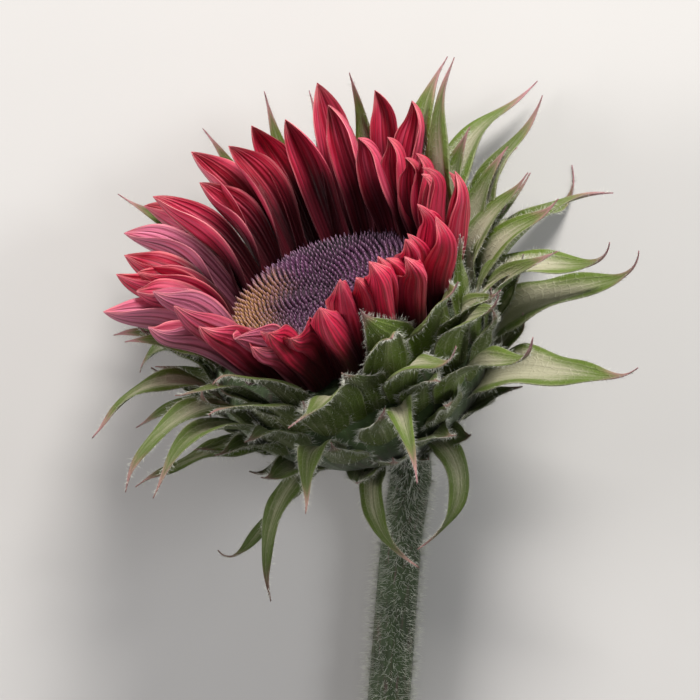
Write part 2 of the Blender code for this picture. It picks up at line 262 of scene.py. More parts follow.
# ---------------------------------------------------------------- meshes
def new_piece(name, points, faces, material, maps=None, stands_for=()):
    """One smooth mesh object on the body, from points in mm."""
    mesh = bpy.data.meshes.new(name)
    mesh.from_pydata((np.asarray(points) * MM).tolist(), [], faces)
    mesh.polygons.foreach_set("use_smooth", [True] * len(mesh.polygons))
    corners = np.empty(len(mesh.loops), np.int64)
    mesh.loops.foreach_get("vertex_index", corners)
    for label, values in (maps or {}).items():
        layer = mesh.uv_layers.new(name=label)
        layer.data.foreach_set("uv", np.asarray(values, np.float32)[corners].ravel())
    mesh.materials.append(material)
    mesh.update()
    piece = bpy.data.objects.new(name, mesh)
    bpy.context.scene.collection.objects.link(piece)
    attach(piece, "root")
    if stands_for:
        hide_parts(*stands_for)
    return piece


def grid_faces(rows, columns, start=0, closed=False):
    """Quads of a grid of points, wrapped round when closed."""
    faces = []
    for k in range(rows - 1):
        for j in range(columns - (0 if closed else 1)):
            a = start + k * columns + j
            b = start + k * columns + (j + 1) % columns
            faces.append((a, b, b + columns, a + columns))
    return faces


def lathe_faces(rows, columns, first, last):
    """A closed skin: a wrapped grid with a fan to one point at each end."""
    faces = grid_faces(rows, columns, 0, True)
    top = (rows - 1) * columns
    for j in range(columns):
        faces.append((first, (j + 1) % columns, j))
        faces.append((last, top + j, top + (j + 1) % columns))
    return faces


def two_sided_faces(rows, columns):
    """A closed skin of two equal grids, the second under the first, sewn round the rim."""
    under = rows * columns
    faces = [tuple(reversed(f)) for f in grid_faces(rows, columns)]
    faces += grid_faces(rows, columns, under)
    rim = [j for j in range(columns)]
    rim += [k * columns + columns - 1 for k in range(1, rows)]
    rim += [(rows - 1) * columns + j for j in range(columns - 2, -1, -1)]
    rim += [k * columns for k in range(rows - 2, 0, -1)]
    for a, b in zip(rim, rim[1:] + rim[:1]):
        faces.append((a, b, b + under, a + under))
    return faces


# ---------------------------------------------------------------- blades: petals and bracts
def course(foot, length, leans, sways, count, wobble, phase, hook):
    """Centre points and side and upward directions along a blade grown at azimuth 0.

    wobble and hook are degrees of waviness and of inward bend at the tip.
    """
    fine = 6
    t = np.linspace(0.0, 1.0, (count - 1) * fine + 1)
    lean = leans[0] * (1 - t) ** 2 + 2 * leans[1] * t * (1 - t) + leans[2] * t ** 2
    lean = lean - hook * smooth_step((t - 0.72) / 0.28)
    lean = lean + 1.6 * wobble * t * np.sin(9.0 * t + 1.7 * phase)
    sway = sways[0] * t + sways[1] * t ** 2 + wobble * t * np.sin(5.0 * t + phase)
    a, b = np.radians(lean), np.radians(sway)
    along = np.stack((np.cos(b) * np.sin(a), np.sin(b), np.cos(b) * np.cos(a)), -1)
    side = np.stack((-np.sin(b) * np.sin(a), np.cos(b), -np.sin(b) * np.cos(a)), -1)
    step = length / ((count - 1) * fine)
    centres = np.asarray(foot) + np.vstack((np.zeros(3), np.cumsum(along[:-1] * step, axis=0)))
    return t[::fine], centres[::fine], side[::fine], np.cross(along, side)[::fine]


def fold(half_width, left, right, columns):
    """Offsets sideways and upward of a folded cross-section, a row for each step.

    left and right hold, for each half, the slope in degrees beside the middle and at the
    margin, and how far the margin rolls back; each is a number or a row of numbers.
    """
    half = np.linspace(0.0, 1.0, (columns + 1) // 2)
    sides = []
    for near, far, roll in (left, right):
        near, far, roll = (np.broadcast_to(v, half_width.shape)[:, None]
                           for v in (near, far, roll))
        slope = near + (far - near) * half ** 0.8 - roll * smooth_step((half - 0.62) / 0.38)
        slope = np.radians((slope[:, 1:] + slope[:, :-1]) / 2.0)
        step = half_width[:, None] * (half[1] - half[0])
        start = np.zeros((len(half_width), 1))
        sides.append((np.hstack((start, np.cumsum(np.cos(slope) * step, axis=1))),
                      np.hstack((start, np.cumsum(np.sin(slope) * step, axis=1)))))
    out = np.hstack((-sides[0][0][:, :0:-1], sides[1][0]))
    rise = np.hstack((sides[0][1][:, :0:-1], sides[1][1]))
    return out, rise


def twisted(side, up, degrees):
    """Side and upward directions turned about the blade's own line."""
    a = np.radians(degrees)[:, None]
    return side * np.cos(a) + up * np.sin(a), up * np.cos(a) - side * np.sin(a)


def blade_skin(centres, side, up, out, rise, thickness):
    """Upper and lower grids of a blade from its cross-sections."""
    top = centres[:, None, :] + side[:, None, :] * out[..., None]
    top = top + up[:, None, :] * rise[..., None]
    normal = unit(np.cross(np.gradient(top, axis=0), np.gradient(top, axis=1)))
    middle = normal[:, normal.shape[1] // 2]
    if np.sum(middle * up) < 0:
        normal = -normal
    across = np.linspace(-1.0, 1.0, out.shape[1])
    thick = thickness[:, None, None] * (1.0 - 0.6 * across ** 4)[None, :, None]
    return top + normal * thick / 2, top - normal * thick / 2


def blade_maps(t, columns, tone, chance):
    """Texture maps of a blade: across and along, the lower side shifted by 2; and its tone."""
    across = np.linspace(0.0, 1.0, columns)
    u = np.tile(across, (len(t), 1))
    v = np.tile(t[:, None], (1, columns))
    upper = np.stack((u, v), -1).reshape(-1, 2)
    lower = np.stack((u + 2.0, v), -1).reshape(-1, 2)
    tones = np.tile((tone, chance), (2 * len(upper), 1))
    return {"Blade": np.vstack((upper, lower)), "Tone": tones}


def petal_half_width(t, half_width):
    """Narrow claw, widest past the middle, closing to a pointed tip."""
    body = 0.60 + 0.40 * smooth_step(t / 0.6)
    return np.maximum(half_width * body * (1.0 - t ** 5.2) ** 0.9, 0.12)


def bract_half_width(t, half_width):
    """Broad foot that draws out into a long thin tip."""
    body = (1.0 - t) ** 1.5 * (1.0 + 2.4 * t) * (0.70 + 0.30 * smooth_step(t / 0.3))
    return np.maximum(half_width * body, 0.42 * (1.0 - t ** 6) + 0.08)


PETAL_FOLDS = (0.34, 0.68)
LARGE_HABIT = (9.0, 1.3, 0.0)
SMALL_HABIT = (5.0, 0.5, 0.0)
SCALE_HABIT = (16.0, 0.6, 0.6)
PETAL_STEPS = 46
PETAL_COLUMNS = 31
BRACT_STEPS = 56
BRACT_COLUMNS = 25


def keep_above_table(points):
    """Lift hair points off the table in place, each to a slightly different height in mm."""
    points[:, 2] = np.maximum(points[:, 2], 0.02 + 0.0001 * np.arange(len(points)) % 0.05)


def facing(azimuth, side):
    """How much an azimuth faces a side: 1 at the side's middle, less towards its edges."""
    middle, width = side
    return math.exp(-(((azimuth - middle + 180.0) % 360.0 - 180.0) / width) ** 2)


def grow_petal(name, row, azimuth, length, middle, tip, sway, tone, material, chance,
               stands_for=()):
    """One ray petal: a folded, pleated boat with a hooded tip."""
    radius, height, lean, half_width = PETAL_ROWS[row]
    near_side = facing(azimuth, NEAR_SIDE)
    right_side = facing(azimuth, RIGHT_SIDE)
    t, centres, side, up = course((radius, 0.0, height), length, (lean, middle, tip),
                                  (sway, 0.0), PETAL_STEPS, 6.0, chance.uniform(0, 6),
                                  chance.uniform(10.0, 32.0) + 24.0 * near_side
                                  + 10.0 * right_side)
    keeled = 30.0 * math.exp(-((azimuth - 135.0) / 60.0) ** 2)
    side, up = twisted(side, up, chance.normal(0.0, 10.0 + 10.0 * near_side) * t
                       + keeled * smooth_step(t / 0.7))
    crowding = 1.0 - 0.10 * near_side - 0.34 * right_side
    wide = petal_half_width(t, half_width * crowding * chance.uniform(0.92, 1.06))
    open_up = smooth_step(t / 0.45)
    halves = []
    for _ in range(2):
        near = 16.0 + (chance.uniform(12.0, 24.0) + 14.0 * near_side) * open_up
        far = 54.0 + chance.uniform(20.0, 44.0) * np.sin(math.pi * t ** 0.9) ** 0.7
        halves.append((near, far, chance.uniform(-12.0, 24.0) * smooth_step((t - 0.15) / 0.3)
                       * (1.0 - smooth_step((t - 0.75) / 0.2))))
    out, rise = fold(wide, halves[0], halves[1], PETAL_COLUMNS)
    across = np.linspace(-1.0, 1.0, PETAL_COLUMNS)[None, :]
    body = (np.sin(math.pi * np.clip(t, 0.0, 1.0)) ** 0.6)[:, None]
    folds = -0.48 * np.exp(-((np.abs(across) - PETAL_FOLDS[0]) / 0.10) ** 2)
    folds = folds - 0.32 * np.exp(-((np.abs(across) - PETAL_FOLDS[1]) / 0.08) ** 2)
    veins = 0.05 * np.cos(2.0 * math.pi * across * 5.0)
    waves = 0.35 * across ** 2 * np.sin(8.0 * t[:, None] + 6.0 * chance.uniform(0, 1))
    rise = rise + (folds + veins + waves * np.sign(across)) * body
    upper, lower = blade_skin(centres, side, up, out, rise,
                              PETAL_THICKNESS * (1.0 - BLADE_TAPER * t))
    points = np.vstack((upper.reshape(-1, 3), lower.reshape(-1, 3)))
    maps = blade_maps(t, PETAL_COLUMNS, tone, chance.uniform(0, 1))
    new_piece(name, to_table(points, azimuth), two_sided_faces(PETAL_STEPS, PETAL_COLUMNS),
              material, maps, stands_for)


def bract_foot(level, clearance=-0.7):
    """Foot point and wall lean in degrees of a bract that grows from the bowl at a level."""
    radius, height = through(BOWL_PROFILE, level)[0]
    step = through(BOWL_PROFILE, level + 0.02)[0] - through(BOWL_PROFILE, level - 0.02)[0]
    wall = math.degrees(math.atan2(step[0], step[1]))
    out = math.radians(90.0 - wall)
    foot = (radius + clearance * math.sin(out), 0.0, height - clearance * math.cos(out))
    return foot, wall, float(neck_shift(height))


def grow_bract(name, row, material, chance, hairs, habit, stands_for=()):
    """One bract: a keeled leaf with raised veins, a wavy margin and a curling tip.

    habit holds the spread of its twist in degrees, the depth of its waves in mm and the
    lowest darkness of its green.
    """
    twist, ruffle, darkness = habit
    azimuth, level, length, middle, tip, sway, more_sway, half_width, hook = row
    foot, wall, shift = bract_foot(level)
    t, centres, side, up = course(foot, length, (max(wall, 0.0) + 13.0, middle, tip),
                                  (sway, more_sway), BRACT_STEPS, 7.0, chance.uniform(0, 6),
                                  hook)
    free = smooth_step((t - 0.06) / 0.3)
    side, up = twisted(side, up, chance.normal(0.0, twist) * free * t)
    wide = bract_half_width(t, half_width)
    halves = []
    for _ in range(2):
        near = chance.uniform(4.0, 20.0) * free
        far = 13.0 + chance.uniform(0.0, 34.0) * free
        halves.append((near, far, chance.uniform(0.0, 80.0) * free))
    out, rise = fold(wide, halves[0], halves[1], BRACT_COLUMNS)
    across = np.linspace(-1.0, 1.0, BRACT_COLUMNS)[None, :]
    phases = np.where(across > 0, chance.uniform(0.0, 6.0), chance.uniform(0.0, 6.0))
    veins = 0.10 * np.cos(2.0 * math.pi * across * 2.5) * (1.0 - across ** 2)
    waves = ruffle * np.abs(across) ** 2.5 * np.sin(14.0 * t[:, None] + phases)
    rise = rise + (veins + waves) * (free * (1.0 - t) ** 0.6)[:, None]
    upper, lower = blade_skin(centres, side, up, out, rise,
                              BRACT_THICKNESS * (1.0 - BLADE_TAPER * t))
    points = np.vstack((upper.reshape(-1, 3), lower.reshape(-1, 3)))
    # painted shade: bracts on the shaded side and those low on the bowl get a darker tone, added
    # to each bract's own darker share
    shade = 0.85 * facing(azimuth, SHADED_SIDE)
    low = 0.8 * float(smooth_step((0.52 - level) / 0.1))
    dark = max(darkness, shade, low) + 0.3 * chance.uniform(0, 1)
    maps = blade_maps(t, BRACT_COLUMNS, dark, chance.uniform(0, 1))
    placed = pressed(to_table(points, azimuth, shift))
    new_piece(name, placed, two_sided_faces(BRACT_STEPS, BRACT_COLUMNS), material, maps,
              stands_for)
    half = len(placed) // 2
    hairs.append((placed[:half].reshape(BRACT_STEPS, BRACT_COLUMNS, 3),
                  placed[half:].reshape(BRACT_STEPS, BRACT_COLUMNS, 3)))


def scale_rows(chance):
    """Rows for the short bracts that overlap like scales all over the bowl."""
    rows = []
    for i in range(SCALE_COUNT):
        share = (i + 0.5) / SCALE_COUNT
        level = 0.10 + 0.72 * share ** 0.75
        wall = max(bract_foot(level)[1], 0.0)
        rows.append((137.50776 * i + chance.normal(0.0, 4.0), level,
                     21.0 + 7.0 * share + chance.normal(0.0, 1.5),
                     wall * 0.75 + 4.0 + 44.0 * share ** 2,
                     wall * 0.5 + 24.0 * share + chance.uniform(10.0, 65.0),
                     chance.normal(0.0, 4.0),
                     chance.normal(0.0, 16.0), 4.8 + 1.6 * math.sin(math.pi * level),
                     chance.uniform(0.0, 60.0)))
    return tuple(rows)


# ---------------------------------------------------------------- hairs
def hair_mesh(roots, directions, lengths, widths, chance):
    """Closed curved spikes of three sides, all in one mesh."""
    n = len(roots)
    directions = unit(directions)
    across = unit(np.cross(directions, unit(chance.normal(size=(n, 3)))))
    other = np.cross(directions, across)
    bend = across * (lengths * chance.uniform(0.0, 0.22, n))[:, None]
    rings = []
    for share, thin in ((-0.12, 1.0), (0.5, 0.62)):
        middle = roots + directions * (lengths * share)[:, None] + bend * max(share, 0.0) ** 2
        for k in range(3):
            a = 2.0 * math.pi * k / 3.0
            arm = across * math.cos(a) + other * math.sin(a)
            rings.append(middle + arm * (widths * thin)[:, None])
    rings.append(roots + directions * lengths[:, None] + bend)
    points = np.stack(rings, 1).reshape(-1, 3)
    pattern = ((0, 2, 1), (0, 1, 4, 3), (1, 2, 5, 4), (2, 0, 3, 5),
               (3, 4, 6), (4, 5, 6), (5, 3, 6))
    faces = [tuple(7 * i + j for j in face) for i in range(n) for face in pattern]
    return points, faces


def margin_hairs(skins, length, chance):
    """Roots and directions of the fringe along bract margins and the down on their backs."""
    roots, directions, lengths = [], [], []
    for upper, lower in skins:
        rows, columns, _ = upper.shape
        middle = (upper + lower) / 2
        for edge, inner in ((0, 2), (columns - 1, columns - 3)):
            for k in range(3, rows - 2):
                for _ in range(HAIRS_PER_STEP):
                    f = chance.uniform(0, 1)
                    root = middle[k, edge] * (1 - f) + middle[k + 1, edge] * f
                    out = unit(middle[k, edge] - middle[k, inner])
                    ahead = unit(middle[k + 1, edge] - middle[k, edge])
                    roots.append(root)
                    directions.append(out + 0.5 * ahead + 0.45 * chance.normal(size=3))
                    lengths.append(length * chance.uniform(0.45, 1.3) * (1.0 - 0.5 * k / rows))
        for _ in range(70):
            k = int(chance.integers(2, rows - 3))
            j = int(chance.integers(1, columns - 1))
            back = unit(lower[k, j] - upper[k, j])
            ahead = unit(lower[k + 1, j] - lower[k, j])
            roots.append(lower[k, j])
            directions.append(back + 0.7 * ahead + 0.4 * chance.normal(size=3))
            lengths.append(length * chance.uniform(0.25, 0.7))
    return np.array(roots), np.array(directions), np.array(lengths)


# ---------------------------------------------------------------- shader building
class Socket:
    """A shader output or a number, with arithmetic that adds Math nodes."""

    def __init__(self, finish, output):
        self.finish = finish
        self.output = output

    def maths(self, operation, first, second=0.0):
        return self.finish.node("ShaderNodeMath", {"operation": operation},
                                {0: first, 1: second})

    def __add__(self, other):
        return self.maths("ADD", self, other)

    __radd__ = __add__

    def __sub__(self, other):
        return self.maths("SUBTRACT", self, other)

    def __rsub__(self, other):
        return self.maths("SUBTRACT", other, self)

    def __mul__(self, other):
        return self.maths("MULTIPLY", self, other)

    __rmul__ = __mul__

    def __pow__(self, other):
        return self.maths("POWER", self, other)

    def sine(self):
        return self.maths("SINE", self)

    def size(self):
        return self.maths("ABSOLUTE", self)

    def above(self, limit):
        return self.maths("GREATER_THAN", self, limit)

    def ramp(self, low, high):
        """0 below low, 1 above high, soft between."""
        return self.finish.node("ShaderNodeMapRange", {"interpolation_type": "SMOOTHSTEP"},
                                {"Value": self, "From Min": low, "From Max": high})


class Finish:
    """A Principled material that is written as expressions."""

    def __init__(self, name):
        self.material = bpy.data.materials.new(name)
        self.material.use_nodes = True
        self.tree = self.material.node_tree
        self.shader = self.tree.nodes["Principled BSDF"]

    def plug(self, socket, value):
        """A link from a Socket, or a plain value."""
        if isinstance(value, Socket):
            self.tree.links.new(value.output, socket)
        elif isinstance(value, tuple) and len(value) == 3 and socket.type == "RGBA":
            socket.default_value = (*value, 1.0)
        else:
            socket.default_value = value

    def node(self, kind, settings=None, inputs=None, output=0):
        """Any node: its settings first, then its sockets; gives one output."""
        node = self.tree.nodes.new(kind)
        for name, value in (settings or {}).items():
            setattr(node, name, value)
        for key, value in (inputs or {}).items():
            self.plug(node.inputs[key], value)
        return Socket(self, node.outputs[output])

    def mix(self, share, first, second, blend="MIX"):
        """Two colours mixed by share."""
        return self.node("ShaderNodeMix", {"data_type": "RGBA", "blend_type": blend},
                         {"Factor": share, 6: first, 7: second}, 2)

    def vector(self, x, y, z=0.0):
        return self.node("ShaderNodeCombineXYZ", None, {"X": x, "Y": y, "Z": z})

    def part(self, vector, axis):
        return self.node("ShaderNodeSeparateXYZ", None, {"Vector": vector}, axis)

    def noise(self, vector, scale, detail=3.0, roughness=0.55):
        return self.node("ShaderNodeTexNoise", None,
                         {"Vector": vector, "Scale": scale, "Detail": detail,
                          "Roughness": roughness}, "Fac")

    def map(self, label):
        """Both parts of a texture map."""
        vector = self.node("ShaderNodeUVMap", {"uv_map": label})
        return self.part(vector, "X"), self.part(vector, "Y")

    def place(self):
        """The object's own coordinates, in metres."""
        return self.node("ShaderNodeTexCoord", None, None, "Object")

    def done(self, colour, roughness, height=None, bump=0.3, reach=0.0002, **plain):
        """Set the shader and give the material; plain holds uniform socket values."""
        self.plug(self.shader.inputs["Base Color"], colour)
        self.plug(self.shader.inputs["Roughness"], roughness)
        for name, value in plain.items():
            self.plug(self.shader.inputs[name.replace("_", " ")], value)
        if height is not None:
            normal = self.node("ShaderNodeBump", None,
                               {"Height": height, "Strength": bump, "Distance": reach})
            self.plug(self.shader.inputs["Normal"], normal)
        return self.material


def petal_finish():
    """Velvet red, blushed pink in streaks partly painted as sheen, peach at rim and tip, painted
    highlight and shade in streaks, painted shade in the creases, burgundy and painted shade at the
    foot.
    """
    look = looks()
    f = Finish("petal_velvet")
    u, v = f.map("Blade")
    tone, seed = f.map("Tone")
    back = u.above(1.5)
    across = u - back * 2.0
    middle = (across - 0.5).size() * 2.0
    fibre = f.noise(f.vector(across * 24.0, v * 1.5, seed * 37.0), 1.0, 4.0, 0.6)
    cloud = f.noise(f.vector(across * 2.0, v * 2.6, seed * 19.0), 1.0, 3.0, 0.5)
    grain = f.noise(f.vector(across * 120.0, v * 60.0, seed * 7.0), 1.0, 2.0, 0.6)
    lines = ((across * 82.0 + fibre * 4.0).sine() * 0.5 + 0.5) ** 2.0
    red, pink = tuple(look.petal_red), tuple(look.petal_pink)
    blush = tuple(look.petal_blush_and_painted_sheen)
    painted_highlight_pink = tuple(0.7 * a + 0.3 * b for a, b in zip(pink, blush))
    skin = f.mix((cloud * 0.5 + fibre * 0.9 + back * 0.16).ramp(0.50, 0.95), red, pink)
    # painted sheen, partly the petals' own paler pink and paler backs: pale pink laid on petals by
    # their paleness
    pale = (tone * (1.0 + back * 0.7) + fibre * 0.9 + cloud * 0.35 - 0.86).ramp(0.0, 0.75)
    skin = f.mix(pale, skin, blush)
    rim = middle.ramp(0.90, 1.0) * 0.8 + (v + middle * 0.04).ramp(0.88, 1.0) * 0.8
    skin = f.mix(rim * fibre.ramp(0.25, 0.75), skin, tuple(look.petal_rim))
    # painted shade: darker red along the two folds and the middle line of each petal
    crease_painted_shade = 1.0 - (middle - PETAL_FOLDS[0]).size().ramp(0.0, 0.07)
    crease_painted_shade = crease_painted_shade + 1.0 - (middle - PETAL_FOLDS[1]).size().ramp(0.0, 0.05)
    crease_painted_shade = crease_painted_shade + 1.0 - middle.ramp(0.0, 0.05)
    skin = f.mix(crease_painted_shade * 0.6, skin, tuple(c * 0.3 for c in red))
    skin = f.mix(lines * (0.12 + cloud.ramp(0.35, 0.7) * 0.4), skin, tuple(c * 0.4 for c in red))
    # painted highlight: bright pink streaks on the upper petal; painted shade: darker red streaks
    # between them
    streak = f.noise(f.vector(across * 11.0, v * 1.1, seed * 71.0), 1.0, 3.0, 0.6)
    skin = f.mix(streak.ramp(0.50, 0.68) * 0.6 * v.ramp(0.3, 0.7), skin, painted_highlight_pink)
    skin = f.mix((1.0 - streak).ramp(0.52, 0.70) * 0.55, skin, tuple(c * 0.45 for c in red))
    # painted shade, partly the petals' own burgundy: each petal's foot darkened, less on pale
    # petals
    foot = 1.0 - (v + cloud * 0.22 + fibre * 0.14 + back * 0.16).ramp(0.58, 0.94)
    skin = f.mix(foot * (0.96 - tone * 0.3), skin, tuple(look.petal_foot_dark_and_painted_shade))
    rough = 0.30 + fibre * 0.3
    height = lines * 0.6 + fibre * 0.8 + grain * 0.25
    return f.done(skin, rough, height, 0.8, 0.0002, Sheen_Weight=0.05,
                  Sheen_Roughness=0.35, Sheen_Tint=(1.0, 0.4, 0.5), Specular_IOR_Level=0.45,
                  Coat_Weight=0.14, Coat_Roughness=0.28)


def bract_finish():
    """Green leaf with pale veins and rim, a dusty inner face and a mauve tip."""
    look = looks()
    f = Finish("bract_leaf")
    u, v = f.map("Blade")
    tone, seed = f.map("Tone")
    back = u.above(1.5)
    across = u - back * 2.0
    middle = (across - 0.5).size() * 2.0
    cloud = f.noise(f.vector(across * 3.0, v * 4.0, seed * 23.0), 1.0, 4.0, 0.55)
    grain = f.noise(f.vector(across * 40.0, v * 110.0, seed * 51.0), 1.0, 3.0, 0.6)
    fibre = f.noise(f.vector(across * 22.0, v * 2.2, seed * 13.0), 1.0, 3.0, 0.55)
    veins = ((across * 31.4 + cloud * 1.2).sine() * 0.5 + 0.5) ** 6.0
    net = f.node("ShaderNodeTexVoronoi", {"feature": "DISTANCE_TO_EDGE"},
                 {"Vector": f.vector(across * 9.0, v * 26.0, seed * 9.0), "Scale": 1.0},
                 "Distance")
    net = 1.0 - net.ramp(0.0, 0.12)
    midrib = 1.0 - middle.ramp(0.02, 0.09)
    dusty = (1.0 - back) * (1.0 - (middle * 0.75 + cloud * 0.6).ramp(0.5, 0.95))
    # the dusty paleness fades on darker bracts, whose tone is partly painted shade
    dusty = dusty * (1.0 - tone * 0.8)
    pale = (dusty * (1.0 - v.ramp(0.35, 0.85)) * 1.5 + veins * 0.22 + net * 0.12 + midrib * 0.25
            + middle.ramp(0.9, 1.0) * 0.5 + cloud.ramp(0.45, 0.8) * 0.3)
    # the tone darkens the green: partly each bract's own darker green, partly painted shade
    green = f.mix(tone, tuple(look.bract_green), tuple(c * 0.5 for c in look.bract_green))
    skin = f.mix(pale.ramp(0.05, 1.2), green, tuple(look.bract_pale))
    blush = (v + fibre * 0.16 + middle * 0.06).ramp(0.86, 1.08)
    skin = f.mix(blush * (0.85 - tone * 0.45), skin, tuple(look.bract_tip))
    skin = f.mix(grain.ramp(0.6, 0.78) * 0.25, skin, (0.50, 0.52, 0.40))
    height = veins * 0.5 + net * 0.35 + grain * 0.5 + midrib * 0.4
    return f.done(skin, 0.5 + grain * 0.18, height, 0.8, 0.0003, Sheen_Weight=0.12,
                  Sheen_Roughness=0.5, Sheen_Tint=(0.9, 0.9, 0.6), Specular_IOR_Level=0.35)


def stem_finish(name, tint):
    """Ribbed green skin with purple streaks; the map runs round and along."""
    look = looks()
    f = Finish(name)
    u, v = f.map("Round")
    spot = f.place()
    grain = f.noise(spot, 900.0, 3.0, 0.6)
    cloud = f.noise(spot, 90.0, 4.0, 0.6)
    streak = f.noise(f.vector(u * 30.0, v * 4.0), 1.0, 4.0, 0.65)
    ribs = ((u * 150.8).sine() * 0.5 + 0.5) ** 2.0
    dark = tuple(c * tint for c in look.stem_green)
    skin = f.mix(cloud.ramp(0.35, 0.7), dark,
                 tuple(min(c * tint * 1.7, 1.0) for c in look.stem_green))
    skin = f.mix(ribs * 0.35, skin, tuple(min(c * tint * 2.2, 1.0) for c in look.stem_green))
    skin = f.mix(streak.ramp(0.52, 0.74) * 0.6, skin, (0.12, 0.045, 0.06))
    skin = f.mix(grain.ramp(0.6, 0.75) * 0.35, skin, (0.34, 0.38, 0.26))
    pith = f.mix(grain.ramp(0.35, 0.7), (0.34, 0.40, 0.20), (0.62, 0.64, 0.44))
    skin = f.mix((v + cloud * 0.1).ramp(4.12, 4.30), skin, pith)
    return f.done(skin, 0.55 + grain * 0.2, ribs * 0.4 + streak * 0.5 + grain * 0.5, 0.6, 0.0003,
                  Sheen_Weight=0.2, Sheen_Tint=(0.9, 0.92, 0.8), Specular_IOR_Level=0.35)


def floret_finish():
    """Purple buds that turn tan towards one edge, with painted shade low on each bud, a painted
    highlight at the tips and painted shade on the disc's far side; the map holds height and tan
    share.
    """
    look = looks()
    f = Finish("floret_bud")
    height, tan = f.map("Bud")
    spot = f.place()
    grain = f.noise(spot, 1400.0, 3.0, 0.6)
    patch = f.noise(spot, 160.0, 3.0, 0.6)
    skin = f.mix(patch.ramp(0.3, 0.7), tuple(look.floret_purple),
                 tuple(min(c * 2.4, 1.0) for c in look.floret_purple))
    # painted shade: tan buds darker towards their feet, between the crowded buds
    warm = f.mix(height.ramp(0.1, 0.85), tuple(c * 0.3 for c in look.floret_tan),
                 tuple(look.floret_tan))
    skin = f.mix(tan.ramp(0.0, 1.0), skin, warm)
    # painted shade: near black where the tan share is below zero, on the disc's far side
    skin = f.mix((0.0 - tan).ramp(0.0, 1.0), skin, (0.012, 0.004, 0.009))
    # painted shade: the lower part of each bud and the bed between them darkened
    skin = f.mix((1.0 - height.ramp(0.0, 0.5)) * 0.85, skin, (0.02, 0.006, 0.014))
    # painted highlight: pale lavender at the bud tips
    skin = f.mix((height + grain * 0.25).ramp(0.86, 1.16) * 0.6, skin, (0.36, 0.19, 0.32))
    return f.done(skin, 0.5 + grain * 0.15, grain, 0.35, 0.0001, Sheen_Weight=0.15,
                  Specular_IOR_Level=0.45)


def hair_finish(name, colour):
    """Fine pale hairs, a little varied along the plant."""
    f = Finish(name)
    patch = f.noise(f.place(), 400.0, 2.0, 0.5)
    skin = f.mix(patch.ramp(0.3, 0.7), tuple(c * 0.75 for c in colour), tuple(colour))
    return f.done(skin, 0.45 + patch * 0.1, Specular_IOR_Level=0.6)


def table_finish():
    """A plain pale floor with a barely seen mottle."""
    look = looks()
    f = Finish("table_top")
    mottle = f.noise(f.place(), 30.0, 4.0, 0.6)
    skin = f.mix(mottle, tuple(c * 0.97 for c in look.table_tone), tuple(look.table_tone))
    return f.done(skin, 0.7 + mottle * 0.1)


# ---------------------------------------------------------------- operators
class SUNFLOWER_OT_stem(bpy.types.Operator):
    """Ribbed, hairy stem with a bent neck"""

    bl_idname = "sunflower.stem"
    bl_label = "Stem"

    def execute(self, context):
        look = looks()
        chance = np.random.default_rng(SEED)
        rows, sides = 190, 72
        fine = through(STEM_ROUTE, np.linspace(0.0, 1.0, 2000))
        run = np.hstack((0.0, np.cumsum(np.linalg.norm(np.diff(fine, axis=0), axis=1))))
        x = np.interp(np.linspace(0.0, run[-1], rows), run, np.linspace(0.0, 1.0, 2000))
        centres = through(STEM_ROUTE, x)
        radii = through(np.array(STEM_RADII)[:, None], x)[:, 0]
        ahead = unit(np.gradient(centres, axis=0))
        across = unit(np.cross(ahead, (0.0, 0.0, 1.0)))
        up = np.cross(ahead, across)
        turn = np.linspace(0.0, 2.0 * math.pi, sides, endpoint=False)
        ribs = (0.10 * np.cos(12 * turn)[None, :] + 0.07 * np.cos(5 * turn + 1.3)[None, :]
                + 0.10 * np.sin(3 * turn[None, :] + 14.0 * x[:, None]))
        size = (radii[:, None] - 0.18 + ribs)[..., None]
        ring = across[:, None, :] * np.cos(turn)[None, :, None]
        ring = ring + up[:, None, :] * np.sin(turn)[None, :, None]
        skin = centres[:, None, :] + ring * size
        cut = np.linspace(0.94, 0.06, CUT_RINGS)
        dish = 0.25 * (1.0 - cut ** 2) + 0.05 * np.cos(24.0 * cut)
        cut_skin = (centres[-1] + (skin[-1] - centres[-1]) * cut[:, None, None]
                    - ahead[-1] * dish[:, None, None])
        points = np.vstack((skin.reshape(-1, 3), cut_skin.reshape(-1, 3), centres[:1],
                            centres[-1:] - 0.3 * ahead[-1:]))
        total = rows + CUT_RINGS
        faces = lathe_faces(total, sides, total * sides, total * sides + 1)
        u = np.tile(turn / (2 * math.pi), (total, 1))
        v = np.tile(np.append(x * 4.0, 5.0 - cut)[:, None], (1, sides))
        maps = np.vstack((np.stack((u, v), -1).reshape(-1, 2), ((0.5, 0.0), (0.5, 5.0))))
        points[:, 2] = np.maximum(points[:, 2], 0.02)
        new_piece("stem_skin", points, faces, stem_finish("stem_skin", 1.0), {"Round": maps},
                  ("stem",))
        count = look.stem_hairs
        k = chance.integers(2, rows - 1, count)
        j = chance.integers(0, sides, count)
        roots = skin[k, j]
        outward = ring[k, j] + 0.30 * chance.normal(size=(count, 3)) + 0.1 * ahead[k]
        lengths = look.stem_hair / MM * chance.uniform(0.35, 1.25, count)
        hair, hair_faces = hair_mesh(roots, outward, lengths, np.full(count, STEM_HAIR_RADIUS),
                                     chance)
        keep_above_table(hair)
        new_piece("stem_hairs", hair, hair_faces,
                  hair_finish("stem_hair", look.hair_white), None, ())
        return {"FINISHED"}


